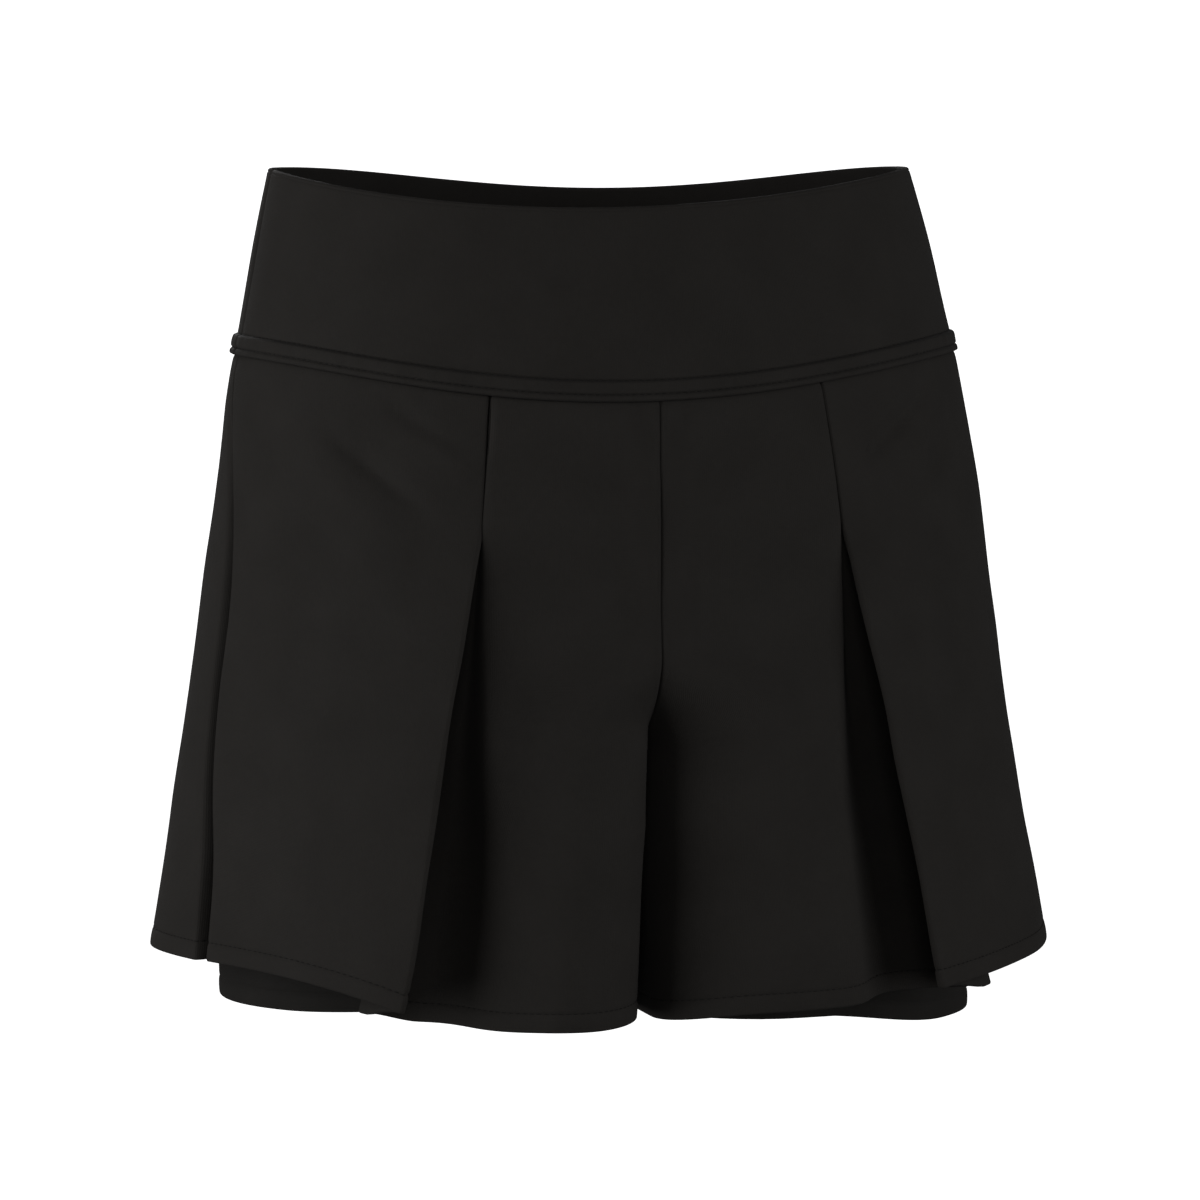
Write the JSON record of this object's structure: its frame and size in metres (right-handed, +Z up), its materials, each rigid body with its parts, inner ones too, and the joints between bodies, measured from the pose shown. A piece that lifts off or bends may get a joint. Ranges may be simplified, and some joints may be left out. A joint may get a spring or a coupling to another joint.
{
  "type": "athletic shorts",
  "caption": "High-rise pleated athletic shorts with a wide waistband and close inner shorts, filled out as worn.",
  "frame": {"origin": "middle of the waist opening, level with the waist edge's highest points at the sides", "axes": "+X to the wearer's left, +Y to the back, +Z up; the front faces -Y"},
  "size_m": [0.3803, 0.2656, 0.3557],
  "materials": {
    "band_knit": "matt black double knit",
    "outer_knit": "matt black stretch knit",
    "inner_knit": "matt black stretch knit"
  },
  "bodies": {
    "root": {"waistband_front": "band_knit", "waistband_back": "band_knit", "front_panel_right": "outer_knit", "front_panel_left": "outer_knit", "back_panel_right": "outer_knit", "back_panel_left": "outer_knit", "inner_leg_right": "inner_knit", "inner_leg_left": "inner_knit"}
  },
  "joints": []
}
